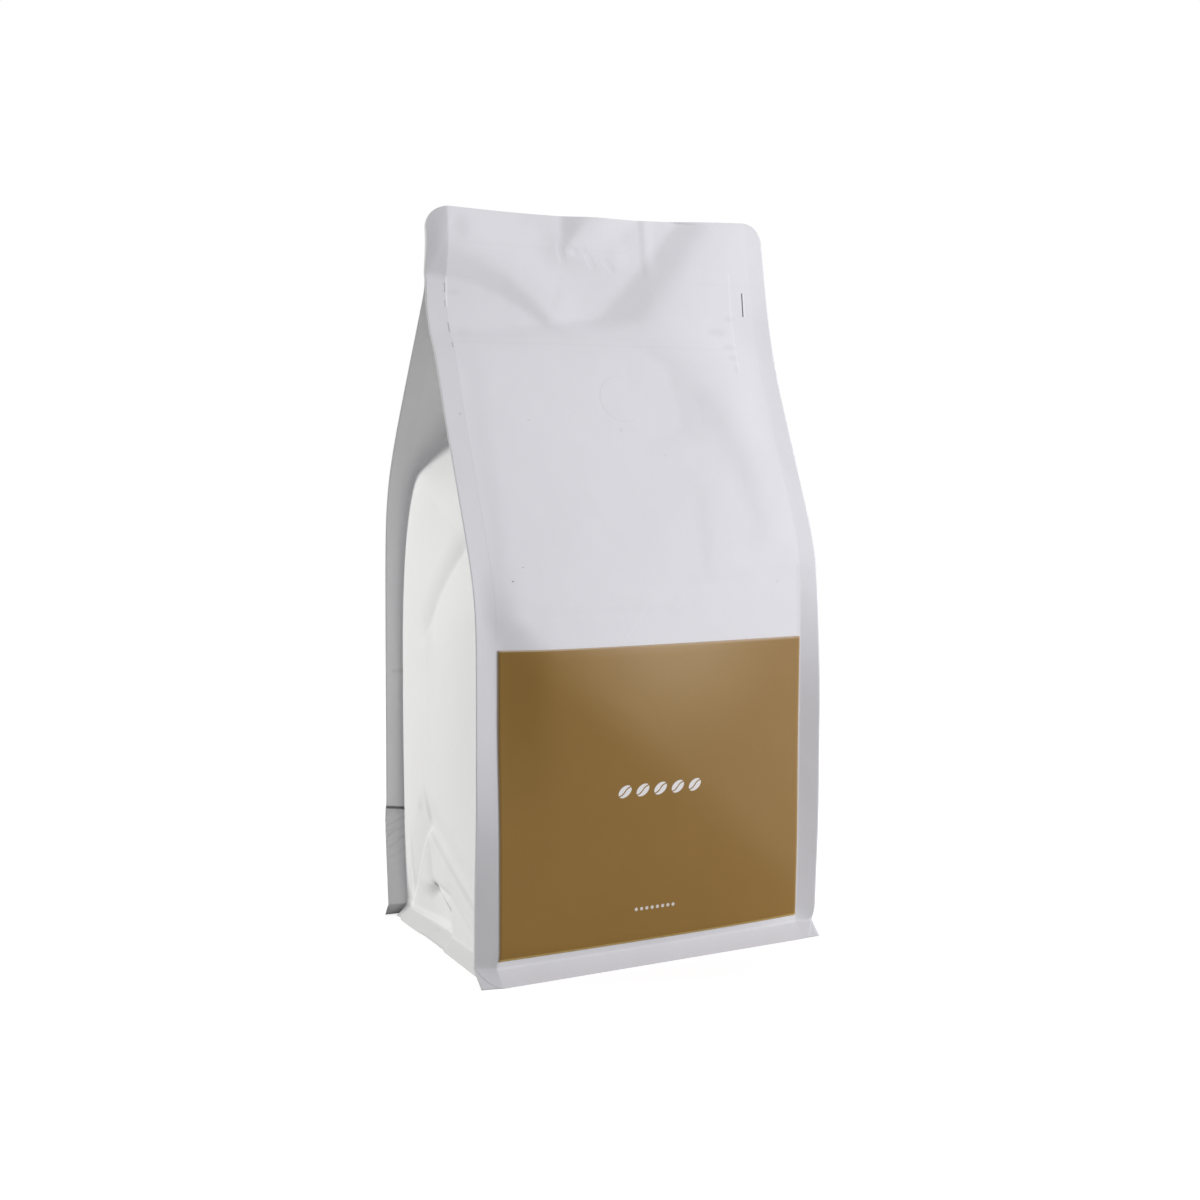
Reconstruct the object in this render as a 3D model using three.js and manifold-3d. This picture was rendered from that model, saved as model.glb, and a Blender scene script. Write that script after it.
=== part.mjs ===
// Coffee bag: a shut, filled box pouch of matte white film with a wide paper label low on its front.
// Millimetres, +Z up. X runs along the front, -Y is the front, and the origin is on the floor
// under the middle of the bag.
//
// The bag is one solid. A filled body stands between two film panels that are wider than it:
// the panels' free margins are the sealed side fins, the splayed foot flanges and the top seal.
// The side films bulge out low down, are tucked in above the coffee, and are folded in a triangle
// over the foot.
import * as THREE from "three";
import { mergeVertices } from "three/addons/utils/BufferGeometryUtils.js";
import Module from "manifold-3d";

// Driving dimensions
const WIDTH = 135; // front film, from side fin tip to side fin tip
const DEPTH = 90; // from the front film to the back film at the foot
const MIDDLE = 43.5; // depth of the bag's middle behind the upright plane of the front side fins
const HEIGHT = 263.2; // top edge at the middle of the bag
const TOP_TILT = 0.034; // the top edge rises towards the right
const TOP_SAG = 0.00035; // and sags a little between its ends
const FIN = 7; // width of the sealed side fins
const CORNER = 8; // radius of the film's corners
const BACK_FOOT_CORNER = 2; // and of the back film's corners at the floor
const FILM = 0.8; // thickness of the film panels, stiffened so that they stay solid
const SEAL = 1.1; // both films together where they are sealed
const FOOT = 5; // height of the crease above which the flanges stand upright
const SPLAY = { front: 6, back: 4.5 }; // how far the flanges splay out from the crease to the floor
const GUSSET = 88; // width of the folded side film
const BELLY = { front: 2.2, back: 3 }; // how far the filled panels stand proud of the fins
const ROOT_LIFT = 1.7; // how far the left root of the front fin stands forward near the foot
const BACK_TUCK = { depth: 3, upTo: 50 }; // the back film draws in towards its foot
const SIDE_STRIP = 3.5; // inset of the side strip at the floor
// The side films bulge out, fully from one height up, and no more over the shoulder
const SIDE_BULGE = { out: 7.5, from: 90, fades: [154, 184] };
const LABEL = { width: 120.4, low: 7.6, high: 111.7, thick: 0.3, gap: 0.3 };
const HALF = WIDTH / 2;
const ROOT = HALF - FIN; // where the fins meet the panels

// How the films lean in above the coffee: straight slopes that start softly at a height
const LEAN_LEFT = [
  { slope: 0.46, from: 129, soft: 6.5 },
  { slope: -0.46, from: 227, soft: 2.5 },
];
const LEAN_RIGHT = [
  { slope: 0.42, from: 141, soft: 6 },
  { slope: -0.19, from: 213, soft: 6 },
];
const LEAN_BACK = [{ slope: 0.62, from: 165, soft: 9 }];

// Where the side film starts to fold in against the back film, and how fast
const POCKET = { from: 159, pinch: 168, atPinch: 2.2, slope: 0.8 };

// Crests of the front film: lines from top to bottom (x, z) with a bow to the right. The film climbs
// to the crest from the left over the steep width, which changes from top to bottom, and falls off
// again over the gentle width on the right. Past its ends a crest fans out and fades.
const CRESTS = [
  {
    ends: [[46, 264], [20, 227]],
    bow: 0.5,
    slope: 0.25,
    steep: [14, 17],
    gentle: 36,
    fade: [5, 24],
    fan: 0.33,
  },
  {
    ends: [[-3, 264], [-15.5, 250.5]],
    bow: 0,
    slope: 0.34,
    steep: [10, 3],
    gentle: 14,
    fade: [5, 3],
    fan: 0,
  },
  {
    ends: [[-51, 124], [-40, 109]],
    bow: 0.5,
    slope: 0.27,
    steep: [11, 19],
    gentle: 90,
    fade: [20, 45],
    fan: 0,
  },
];
// A shelf of the front film: a line from left to right with an upward bow. The film climbs upwards
// from it over the steep width, which changes along it, and falls off again above that.
const SHELF = {
  ends: [[-67, 237.5], [-24.5, 221.5]],
  bow: 4.5,
  slope: 0.22,
  steep: [15, 4.5],
  gentle: 24,
  fade: 9,
};
const RELIEF_BASE = 0.6; // how far the front film lies back where no crest lifts it
const SOFT_FOOT = 0.2; // share of a climb over which it starts
const SOFT_TOP = 0.6; // and the share from which it levels off

// Folds of the side films, at depths q and heights z: the top of the triangle over the foot, the
// slopes of its two ridges, its dimples and the crease that runs down from the front fin
const TRIANGLE = { q: 50.5, z: 41.6, frontSlope: 0.62, backSlope: 1.2, tuck: 1.6 };
const DIMPLES = [
  { q: 52, z: 13, wide: 11, high: 8, depth: 3 },
  { q: 27, z: 13, wide: 8, high: 5, depth: 1 },
];
const CREASE = { from: [10, 164], to: [44.5, 118.5], above: 7, below: 13, depth: 2.4 };

const mix = (a, b, t) => a + (b - a) * t;
const clamp = (v) => Math.min(1, Math.max(0, v));
const smooth = (v) => clamp(v) ** 2 * (3 - 2 * clamp(v));
const ramp = (v, soft) => (v > 30 * soft ? v : soft * Math.log1p(Math.exp(v / soft)));
const bell = (v, half) => Math.exp(-((v / half) ** 2));
const lean = (bends, z) => bends.reduce((sum, b) => sum + b.slope * ramp(z - b.from, b.soft), 0);
const topHeight = (x) => HEIGHT + TOP_TILT * x + TOP_SAG * x * x;

// 1 in the middle of a panel, falling to 0 at the fin roots
const acrossPanel = (x) => 1 - clamp(Math.abs(x) / ROOT) ** 2.5;

// Place relative to a line: nearest share of the way along it, distance to its left, and how far
// past its ends
function fromLine(x, z, [from, to]) {
  const along = [to[0] - from[0], to[1] - from[1]];
  const length = Math.hypot(...along);
  const share = ((x - from[0]) * along[0] + (z - from[1]) * along[1]) / length ** 2;
  const off = (along[0] * (z - from[1]) - along[1] * (x - from[0])) / length;
  return { share: clamp(share), off, past: Math.max(0, -share, share - 1) * length };
}

// A climb from 0 that rises evenly, with a soft foot and a soft top
function climb(v) {
  const bend = (start) => Math.max(0, Math.min(v, 1) - start) ** 2;
  return (bend(0) - bend(SOFT_FOOT)) / (2 * SOFT_FOOT) - bend(SOFT_TOP) / (2 * (1 - SOFT_TOP));
}

function crestRise(x, z, crest) {
  const [[topX, topZ], [lowX, lowZ]] = crest.ends;
  const down = (topZ - z) / (topZ - lowZ);
  const share = clamp(down);
  const line = mix(topX, lowX, share) + 4 * crest.bow * share * (1 - share);
  const run = (lowX - topX + 4 * crest.bow * (1 - 2 * share)) / (topZ - lowZ);
  const off = (x - line) / Math.hypot(1, run);
  const past = Math.max(0, -down, down - 1) * (topZ - lowZ);
  const steep = mix(...crest.steep, share);
  const rise = crest.slope * steep * bell(past, down < 0 ? crest.fade[0] : crest.fade[1]);
  const spread = steep * (1 + past * crest.fan);
  return rise * climb(1 + off / spread) * (1 - smooth(off / crest.gentle));
}

function shelfRise(x, z, shelf) {
  const { share, off, past } = fromLine(x, z, shelf.ends);
  const over = off - 4 * shelf.bow * share * (1 - share);
  const steep = mix(...shelf.steep, share);
  const rise = shelf.slope * steep * bell(past, shelf.fade);
  return rise * climb(over / steep) * (1 - smooth((over - steep) / shelf.gentle));
}

// How far the folds raise the front film
const frontRelief = (x, z) =>
  CRESTS.reduce((sum, crest) => sum + crestRise(x, z, crest), shelfRise(x, z, SHELF) - RELIEF_BASE);

// The front side fins are bent: back on the left, more so near the foot, and forward on the right
function finSwing(x, z) {
  const pastRoot = Math.max(0, Math.abs(x) - ROOT);
  const left = 0.06 + 0.3 * smooth((62 - z) / 46) * smooth((z + 6) / 12);
  const right = -0.5 * smooth((150 - z) / 70) * mix(0.7, 1, smooth((z - 10) / 50)) * smooth(z / 12);
  return pastRoot * (x < 0 ? left : right);
}

// Depth of the front and back films behind the upright front plane
function frontDepth(x, z) {
  const tilt = mix(lean(LEAN_LEFT, z), lean(LEAN_RIGHT, z), x / WIDTH + 0.5);
  const filled = smooth(z / (2 * FOOT)) * (1 - smooth((z - 115) / 95));
  const splay = SPLAY.front * clamp(1 - z / FOOT);
  const atLeft = ROOT_LIFT * smooth(z / 12) * (1 - smooth((z - 45) / 45)) * clamp(-x / ROOT) ** 3;
  const held = clamp(1 - (Math.abs(x) - ROOT) / FIN);
  const panel = BELLY.front * filled * acrossPanel(x) + atLeft * held + frontRelief(x, z);
  return tilt - splay - panel + finSwing(x, z);
}

function backDepth(x, z) {
  const filled = smooth(z / (2 * FOOT)) * (1 - smooth((z - 110) / 110));
  const splay = SPLAY.back * clamp(1 - z / FOOT);
  const tuck = BACK_TUCK.depth * clamp(1 - z / BACK_TUCK.upTo) ** 2;
  const own = DEPTH - lean(LEAN_BACK, z) - tuck + splay + BELLY.back * filled * acrossPanel(x);
  const sealed = frontDepth(x, z) + SEAL;
  return sealed + ramp(own - sealed, 1);
}

// How far the side film is folded in at height z along the front film and along the back film, on
// the side whose fins are at x = edge
function sideFolds(edge, z) {
  const gap = backDepth(edge, z) - frontDepth(edge, z) - SEAL;
  const spare = ramp(GUSSET - gap, 1) * smooth((z - 100) / 30);
  const slow = POCKET.atPinch * smooth((z - POCKET.from) / (POCKET.pinch - POCKET.from));
  const back = Math.min(slow + POCKET.slope * ramp(z - POCKET.pinch, 0.8), spare / 2);
  return { front: spare - back, back };
}

// Inward relief of the side film at depth q and height z
function sideRelief(q, z) {
  const behind = q - TRIANGLE.q;
  const ridge = TRIANGLE.z - (behind < 0 ? -TRIANGLE.frontSlope : TRIANGLE.backSlope) * behind;
  const under = smooth((ridge + 1 - z) / 22) * smooth((40 - Math.abs(behind)) / 14);
  const dimples = DIMPLES.reduce(
    (sum, d) => sum + d.depth * bell(Math.hypot((q - d.q) / d.wide, (z - d.z) / d.high), 1),
    0,
  );
  const crease = fromLine(q, z, [CREASE.from, CREASE.to]);
  const width = crease.off > 0 ? CREASE.above : CREASE.below;
  const dip = bell(Math.hypot(crease.off / width, crease.past / CREASE.above), 1);
  return TRIANGLE.tuck * under + dimples + CREASE.depth * dip;
}

// Inset of the side film a share v of the way from its front edge to its back edge
function sideInset(edge, v, z) {
  const folds = sideFolds(edge, z);
  const middle = 1 - Math.abs(2 * v - 1);
  const [fadesFrom, fadesTo] = SIDE_BULGE.fades;
  const round = (1 - (1 - middle) ** 2.6) * (1 - smooth((z - fadesFrom) / (fadesTo - fadesFrom)));
  const short = clamp((SIDE_BULGE.from - z) / (SIDE_BULGE.from - FOOT));
  const bulge = SIDE_BULGE.out * round * (1 - short ** 2);
  const x = edge - Math.sign(edge) * FIN;
  const relief = sideRelief(mix(frontDepth(x, z), backDepth(x, z), v), z) * smooth(9 * middle);
  const strip = (FIN - SIDE_STRIP) * clamp(1 - z / FOOT) * smooth(12 * middle);
  return FIN + mix(folds.front, folds.back, v) - bulge + relief - strip;
}

const toPart = (x, depth, z) => [x, depth - MIDDLE, z];

// A closed mesh from rings of points of one length, closed at both ends by a fan
function loft(rings) {
  const n = rings[0].length;
  const points = rings.flat();
  const faces = [];
  for (let k = 0; k + 1 < rings.length; k++) {
    for (let i = 0; i < n; i++) {
      const a = k * n + i;
      const b = k * n + ((i + 1) % n);
      faces.push(a, b, a + n, b, b + n, a + n);
    }
  }
  for (const [k, turned] of [[0, true], [rings.length - 1, false]]) {
    const centre = [0, 1, 2].map((c) => rings[k].reduce((sum, p) => sum + p[c], 0) / n);
    const hub = points.push(centre) - 1;
    for (let i = 0; i < n; i++) {
      const a = k * n + i;
      const b = k * n + ((i + 1) % n);
      faces.push(...(turned ? [b, a, hub] : [a, b, hub]));
    }
  }
  return { points, faces };
}

// A closed sheet between an outer and an inner surface, each a function of a grid place
function sheet(columns, rows, outer, inner) {
  const rings = [];
  for (const row of rows) {
    const front = columns.map((column) => outer(column, row));
    const back = columns.map((column) => inner(column, row)).reverse();
    rings.push([...front, ...back]);
  }
  const n = columns.length;
  const made = loft(rings);
  const caps = [];
  for (const [k, turned] of [[0, true], [rings.length - 1, false]]) {
    for (let i = 0; i + 1 < n; i++) {
      const a = k * 2 * n + i;
      const b = a + 1;
      const c = k * 2 * n + (2 * n - 2 - i);
      const d = c + 1;
      caps.push(...(turned ? [b, a, d, b, d, c] : [a, b, d, b, c, d]));
    }
  }
  const capFaces = 2 * 2 * n * 3;
  const points = made.points.slice(0, -2);
  return { points, faces: [...made.faces.slice(0, -capFaces), ...caps] };
}

function geometryOf({ points, faces }) {
  const geometry = new THREE.BufferGeometry();
  geometry.setAttribute("position", new THREE.Float32BufferAttribute(points.flat(), 3));
  geometry.setIndex(faces);
  return mergeVertices(geometry, 1e-4);
}

// Evenly spaced values from a to b
const spaced = (a, b, steps) => Array.from({ length: steps + 1 }, (_, i) => mix(a, b, i / steps));

// Heights of the rows: close together at the foot, the shoulder and the top
const heightRows = (top) => [
  ...spaced(0, FOOT, 2),
  ...spaced(FOOT, 46, 10).slice(1),
  ...spaced(46, 108, 6).slice(1),
  ...spaced(108, 216, 18).slice(1),
  ...spaced(216, top, 8).slice(1),
];

// The filled body between the panels, up to where the films meet
function bodyMesh() {
  const across = spaced(-1, 1, 16);
  const around = spaced(0, 1, 15);
  const rings = heightRows(250).map((z) => {
    const inset = (side, v) => HALF - sideInset(side * HALF, v, z);
    const front = (x) => frontDepth(x, z) + FILM / 2;
    const back = (x) => backDepth(x, z) - FILM / 2;
    const sidePoint = (side, v) => {
      const x = side * inset(side, v);
      return toPart(x, mix(front(x), back(x), v), z);
    };
    const panel = (depth, v) =>
      across.map((s) => {
        const x = mix(-inset(-1, v), inset(1, v), (s + 1) / 2);
        return toPart(x, depth(x), z);
      });
    return [
      ...panel(front, 0),
      ...around.slice(1, -1).map((v) => sidePoint(1, v)),
      ...panel(back, 1).reverse(),
      ...around.slice(1, -1).reverse().map((v) => sidePoint(-1, v)),
    ];
  });
  return loft(rings);
}

// Columns of a panel, as shares of its half width: close together along the fins
const COLUMNS = [-1, -0.945, -ROOT / HALF, ...spaced(-0.8, 0.8, 14), ROOT / HALF, 0.945, 1];

// A film panel with round corners. Its rows follow the arcs of the corners at both ends.
function panelMesh(outerDepth, innerDepth, footCorner) {
  const arcs = spaced(0, 90, 5).map((a) => CORNER * (1 - Math.cos((a * Math.PI) / 180)));
  const rows = [
    ...arcs,
    ...heightRows(HEIGHT - 30).filter((z) => z > CORNER + 2),
    ...spaced(HEIGHT - 24, HEIGHT - CORNER - 3, 3),
    ...arcs.map((d) => HEIGHT - d).reverse(),
  ];
  const place = (column, row) => {
    const radius = row < HEIGHT / 2 ? footCorner : CORNER;
    const near = Math.max(0, radius - Math.min(row, HEIGHT - row));
    const x = column * (HALF - radius + Math.sqrt(radius ** 2 - near ** 2));
    return [x, (row * topHeight(x)) / HEIGHT];
  };
  const surface = (depth) => (column, row) => {
    const [x, z] = place(column, row);
    return toPart(x, depth(x, z), z);
  };
  return sheet(COLUMNS, rows, surface(outerDepth), surface(innerDepth));
}

// The label lies on the front panel, from fin root to fin root, on the panel's own rows and columns
function labelMesh() {
  const side = LABEL.width / 2;
  const between = COLUMNS.map((share) => share * HALF).filter((x) => Math.abs(x) < side - 1);
  const columns = [-side, ...between, side];
  const above = heightRows(HEIGHT).filter((z) => z > LABEL.low + 1 && z < LABEL.high - 1);
  const rows = [LABEL.low, ...above, LABEL.high];
  const at = (lift) => (x, z) => toPart(x, frontDepth(x, z) - lift, z);
  return sheet(columns, rows, at(LABEL.gap + LABEL.thick), at(LABEL.gap));
}

const wasm = await Module();
wasm.setup();

function solidOf(mesh) {
  const geometry = geometryOf(mesh);
  return new wasm.Manifold(
    new wasm.Mesh({
      numProp: 3,
      vertProperties: geometry.attributes.position.array,
      triVerts: new Uint32Array(geometry.index.array),
    }),
  );
}

// The outer skin alone: a pocket of air that the joined films close off is filled
const outerBody = (solid) =>
  solid.decompose().reduce((most, body) => (body.volume() > most.volume() ? body : most));

function bagGeometry() {
  const front = panelMesh(frontDepth, (x, z) => frontDepth(x, z) + FILM, CORNER);
  const back = panelMesh((x, z) => backDepth(x, z) - FILM, backDepth, BACK_FOOT_CORNER);
  const joined = outerBody(solidOf(bodyMesh()).add(solidOf(front)).add(solidOf(back))).getMesh();
  const geometry = new THREE.BufferGeometry();
  geometry.setAttribute("position", new THREE.BufferAttribute(joined.vertProperties, joined.numProp));
  geometry.setIndex(new THREE.BufferAttribute(joined.triVerts, 1));
  return geometry;
}

const film = new THREE.MeshStandardMaterial({ color: 0xdedde2, roughness: 0.55, metalness: 0 });
const paper = new THREE.MeshStandardMaterial({ color: 0x8c6e42, roughness: 0.45, metalness: 0 });

const bag = new THREE.Mesh(bagGeometry(), film);
bag.name = "bag";

const label = new THREE.Mesh(geometryOf(labelMesh()), paper);
label.name = "label";

const coffeeBag = new THREE.Group();
coffeeBag.add(bag, label);

export default coffeeBag;
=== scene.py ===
"""Looks of the coffee bag: a shut box pouch of matte white film with a wide paper label.

The pouch is made of the sheets of film that the real one is made of: a front and a back panel,
two folded side films and a bottom film. Each is a grid that a function lays out in millimetres.
x runs along the front, depth runs back from the upright plane of the front side fins, z is up.
"""
import math

import bmesh
import bpy
import numpy as np
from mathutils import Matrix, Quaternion, Vector


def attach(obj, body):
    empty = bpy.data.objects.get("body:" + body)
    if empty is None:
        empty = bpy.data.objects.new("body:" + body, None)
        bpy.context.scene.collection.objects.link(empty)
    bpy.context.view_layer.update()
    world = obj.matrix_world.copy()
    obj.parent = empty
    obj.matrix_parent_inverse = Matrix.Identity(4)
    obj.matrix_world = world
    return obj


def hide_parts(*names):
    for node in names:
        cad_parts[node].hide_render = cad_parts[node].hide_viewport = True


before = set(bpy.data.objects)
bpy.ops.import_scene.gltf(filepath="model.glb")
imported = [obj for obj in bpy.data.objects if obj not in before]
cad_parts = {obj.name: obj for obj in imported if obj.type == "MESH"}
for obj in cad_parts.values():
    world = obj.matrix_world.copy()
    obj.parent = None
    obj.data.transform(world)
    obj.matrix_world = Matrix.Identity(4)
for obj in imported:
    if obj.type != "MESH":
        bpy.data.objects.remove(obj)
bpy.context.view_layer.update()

MM = 0.001

# The bag's driving dimensions, as in the solids
WIDTH = 135.0
DEPTH = 90.0
MIDDLE = 43.5  # depth of the middle of the bag
HEIGHT = 263.2  # of the middle of the top edge, which is tilted and sags
TOP_TILT = 0.034
TOP_SAG = 0.00035
FIN = 7.0  # width of the sealed side fins
CORNER = 8.0  # radius of the film's corners
BACK_FOOT_CORNER = 2.0  # and of the back film's corners at the floor
FOOT = 5.0  # height of the crease above which the flanges stand upright
SPLAY_FRONT = 6.0  # how far the flanges splay out from the crease to the floor
SPLAY_BACK = 4.5
GUSSET = 88.0  # width of a folded side film
SEAL = 1.1  # from face to face of the panels where they are sealed
FILM = 0.2
HALF = WIDTH / 2
ROOT = HALF - FIN  # where the fins meet the panels

# How the films lean in above the coffee: slopes that start softly at a height
LEAN_LEFT = ((0.46, 129, 6.5), (-0.46, 227, 2.5))
LEAN_RIGHT = ((0.42, 141, 6), (-0.19, 213, 6))
LEAN_BACK = ((0.62, 165, 9),)


def mix(a, b, t):
    return a + (b - a) * t


def smooth(v):
    v = np.clip(v, 0, 1)
    return v * v * (3 - 2 * v)


def fade(value, nought, full):
    """0 at nought, 1 at full, smooth between."""
    return smooth((value - nought) / (full - nought))


def ramp(v, soft):
    """0 below 0 and v above it, with a soft bend between."""
    return soft * np.logaddexp(0, v / soft)


def lean(bends, z):
    return sum(slope * ramp(z - start, soft) for slope, start, soft in bends)


def bell(v, half):
    return np.exp(-((v / half) ** 2))


def one_sided(off, left_width, right_width):
    """1 on a line, falling off over a width on its left and another on its right."""
    width = np.where(off > 0, left_width, right_width)
    return np.clip(1 - np.abs(off) / width, 0, 1) ** 2


def from_line(x, z, start, end):
    """Share of the way along a line, distance to its left, and how far past its ends."""
    along_x, along_z = end[0] - start[0], end[1] - start[1]
    length = math.hypot(along_x, along_z)
    share = ((x - start[0]) * along_x + (z - start[1]) * along_z) / length**2
    off = (along_x * (z - start[1]) - along_z * (x - start[0])) / length
    past = np.maximum(0, np.maximum(-share, share - 1)) * length
    return np.clip(share, 0, 1), off, past


def across_panel(x):
    """1 in the middle of a panel, falling to 0 at the fin roots."""
    return 1 - np.clip(np.abs(x) / ROOT, 0, 1) ** 2.5


def top_height(x):
    return HEIGHT + TOP_TILT * x + TOP_SAG * x * x


# Front film

BELLY_FRONT = 2.2  # how far the filled panel stands proud of the fins
BELLY_FRONT_FADES = (115, 210)
ROOT_LIFT = 1.7  # how far the root of the left fin stands forward near the foot
ROOT_LIFT_FADES = (45, 90)

# Crests, each a line from its top to its bottom (x, z) with a bow to the right. The film climbs to
# the crest from the left over the steep width, which changes from top to bottom, and falls off
# again over the gentle width on the right. Past its ends a crest fans out and fades.
FRONT_CRESTS = (
    {"top": (46, 264), "low": (18, 226), "bow": 0.8, "slope": 0.25, "steep": (14, 19), "gentle": 36,
     "foot": 0.2, "fade": (5, 24), "fan": 0.33},
    {"top": (-3, 264), "low": (-15.5, 250.5), "bow": 0, "slope": 0.34, "steep": (10, 1.2), "gentle": 14,
     "foot": 0.1, "fade": (5, 3), "fan": 0},
    {"top": (17.2, 264), "low": (17, 246), "bow": 0, "slope": 0.26, "steep": (2.2, 1.4), "gentle": 5,
     "foot": 0.5, "fade": (5, 3), "fan": 0},
    {"top": (40, 210), "low": (40, 188), "bow": 0, "slope": 0.08, "steep": (21, 19), "gentle": 24,
     "foot": 0.15, "fade": (12, 8), "fan": 0.1},
    {"top": (43, 196), "low": (50, 149), "bow": 2.5, "slope": 0.08, "steep": (14, 12), "gentle": 14,
     "foot": 0.5, "fade": (8, 5), "fan": 0.1},
    {"top": (29, 163), "low": (24, 138), "bow": 0, "slope": 0.055, "steep": (11, 7), "gentle": 24,
     "foot": 0.4, "fade": (8, 5), "fan": 0.1},
    {"top": (-49, 205), "low": (-53, 142), "bow": 0, "slope": 0.06, "steep": (11, 8), "gentle": 60,
     "foot": 0.4, "fade": (16, 12), "fan": 0.05},
    {"top": (-52, 123), "low": (-40, 109), "bow": 0.5, "slope": 0.27, "steep": (10, 19), "gentle": 90,
     "foot": 0.3, "fade": (13, 45), "fan": 0},
    {"top": (-30, 108), "low": (34, 40), "bow": -14, "slope": 0.02, "steep": (32, 60), "gentle": 70,
     "foot": 0.5, "fade": (14, 30), "fan": 0.02},
)
# Shelves: lines from left to right with an upward bow. The film climbs upwards from the line over
# the steep width, which changes along it, and falls off again above that.
FRONT_SHELVES = (
    {"from": (-67, 237.5), "to": (-24.5, 221.5), "bow": 4.5, "slope": 0.22, "steep": (15, 5.5),
     "gentle": 24, "fade": 8},
    {"from": (-17, 243), "to": (3, 242.5), "bow": -1, "slope": 0.12, "steep": (7, 6),
     "gentle": 9, "fade": 6},
    {"from": (6, 131), "to": (60, 133), "bow": 0, "slope": 0.06, "steep": (8, 8),
     "gentle": 40, "fade": 18},
)
SHELF_FOOT = 0.12  # share of a shelf's climb over which it starts
SOFT_TOP = 0.6  # share of a climb from which it levels off
SINK = 0.6  # how far the film lies back where no fold lifts it

# Swings of the front side fins, backwards for each mm past the root, and the heights between which
# they come in. The left fin swings back, more so near the foot and above the top fold. The right
# one swings forward low down, a little less near the foot.
LEFT_SWING = 0.06
LEFT_FOOT_SWING, LEFT_FOOT_HEIGHTS, LEFT_FLOOR_HEIGHTS = 0.3, (62, 16), (-6, 6)
LEFT_TOP_SWING, LEFT_TOP_HEIGHTS = 0.16, (236, 240)
RIGHT_SWING, RIGHT_HEIGHTS = -0.5, (150, 80)
RIGHT_FOOT_SHARE, RIGHT_FOOT_HEIGHTS = 0.7, (10, 60)
FLOOR_HEIGHTS = (0, 12)


def climb(v, foot):
    """A climb that rises evenly, with a soft foot over a share of its width and a soft top."""
    def bend(start):
        return np.maximum(0, np.minimum(v, 1) - start) ** 2

    return (bend(0) - bend(foot)) / (2 * foot) - bend(SOFT_TOP) / (2 * (1 - SOFT_TOP))


def crest_rise(x, z, crest):
    (top_x, top_z), (low_x, low_z) = crest["top"], crest["low"]
    down = (top_z - z) / (top_z - low_z)
    share = np.clip(down, 0, 1)
    line = mix(top_x, low_x, share) + 4 * crest["bow"] * share * (1 - share)
    run = (low_x - top_x + 4 * crest["bow"] * (1 - 2 * share)) / (top_z - low_z)
    off = (x - line) / np.hypot(1, run)
    past = np.maximum(0, np.maximum(-down, down - 1)) * (top_z - low_z)
    steep = mix(*crest["steep"], share)
    rise = crest["slope"] * steep * bell(past, np.where(down < 0, *crest["fade"]))
    steep = steep * (1 + past * crest["fan"])
    return rise * climb(1 + off / steep, crest["foot"]) * (1 - smooth(off / crest["gentle"]))


def shelf_rise(x, z, shelf):
    share, off, past = from_line(x, z, shelf["from"], shelf["to"])
    over = off - 4 * shelf["bow"] * share * (1 - share)
    steep = mix(*shelf["steep"], share)
    rise = shelf["slope"] * steep * bell(past, shelf["fade"])
    return rise * climb(over / steep, SHELF_FOOT) * (1 - smooth((over - steep) / shelf["gentle"]))


def front_relief(x, z):
    """How far the folds and creases raise the front film."""
    crests = sum(crest_rise(x, z, crest) for crest in FRONT_CRESTS)
    return crests + sum(shelf_rise(x, z, shelf) for shelf in FRONT_SHELVES) - SINK


def fin_swing(x, z):
    """How far the front side fins are bent back, or forward where it is negative."""
    at_foot = fade(z, *LEFT_FOOT_HEIGHTS) * fade(z, *LEFT_FLOOR_HEIGHTS)
    left = LEFT_SWING + LEFT_FOOT_SWING * at_foot + LEFT_TOP_SWING * fade(z, *LEFT_TOP_HEIGHTS)
    less_at_foot = mix(RIGHT_FOOT_SHARE, 1, fade(z, *RIGHT_FOOT_HEIGHTS)) * fade(z, *FLOOR_HEIGHTS)
    right = RIGHT_SWING * fade(z, *RIGHT_HEIGHTS) * less_at_foot
    return np.maximum(0, np.abs(x) - ROOT) * np.where(x < 0, left, right)


def front_depth(x, z):
    tilt = mix(lean(LEAN_LEFT, z), lean(LEAN_RIGHT, z), x / WIDTH + 0.5)
    filled = fade(z, 0, 2 * FOOT) * (1 - fade(z, *BELLY_FRONT_FADES))
    splay = SPLAY_FRONT * np.clip(1 - z / FOOT, 0, 1)
    lifted = ROOT_LIFT * fade(z, *FLOOR_HEIGHTS) * (1 - fade(z, *ROOT_LIFT_FADES))
    at_left = lifted * np.clip(-x / ROOT, 0, 1) ** 3
    held = np.clip(1 - (np.abs(x) - ROOT) / FIN, 0, 1)
    panel = BELLY_FRONT * filled * across_panel(x) + at_left * held + front_relief(x, z)
    return tilt - splay - panel + fin_swing(x, z)


# Back film

BELLY_BACK = 3.0
BELLY_BACK_FADES = (110, 220)
BACK_TUCK, TUCK_TOP = 3.0, 50  # the back film draws in towards its foot, under a height
# The left back fin is folded over below a line that rises outwards, with a lip on the line, and is
# wrinkled there. It has a small nick higher up.
FIN_FOLD = {"height": 39.7, "rise": 0.45, "out": 0.9, "step": 1.2, "fades": (2, 32)}
FIN_LIP = {"above": 0.4, "out": 0.5, "half": 0.9}
FIN_WRINKLES = {"out": 0.16, "close": 1.5, "slant": 0.9, "under": 10, "half": 8}
FIN_NICK = {"height": 95, "deep": 0.12, "half": 1.5}
FIN_TURN, FIN_TURN_SOFT = 0.1, 6  # how far the fin is turned back there, for each mm past its root
FIN_FREE = 1.5  # distance from its root at which it moves freely


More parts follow.
